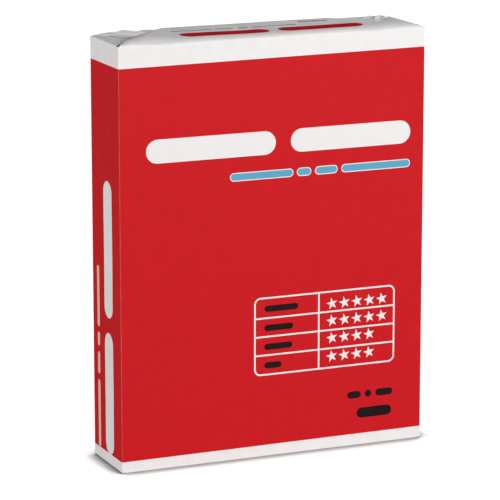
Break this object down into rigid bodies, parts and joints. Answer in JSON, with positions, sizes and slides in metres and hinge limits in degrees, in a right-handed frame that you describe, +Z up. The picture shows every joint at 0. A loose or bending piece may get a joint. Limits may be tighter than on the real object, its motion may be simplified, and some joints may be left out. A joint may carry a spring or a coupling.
{
  "type": "ream of paper",
  "caption": "Sealed ream of letter-size office paper in a printed red and white wrapper with envelope-folded ends, standing on its lower end.",
  "frame": {"origin": "middle of the lowest plane, under the middle of the bounding box", "axes": "+Z up along the sheets' long edge, the front panel faces -Y, +X across the front panel to the viewer's right"},
  "size_m": [0.2164, 0.0512, 0.2826],
  "materials": {
    "printed_wrapper": "printed wrapper paper, satin, red with white end bands"
  },
  "bodies": {
    "root": {"wrapped_ream": "printed_wrapper"}
  },
  "joints": []
}
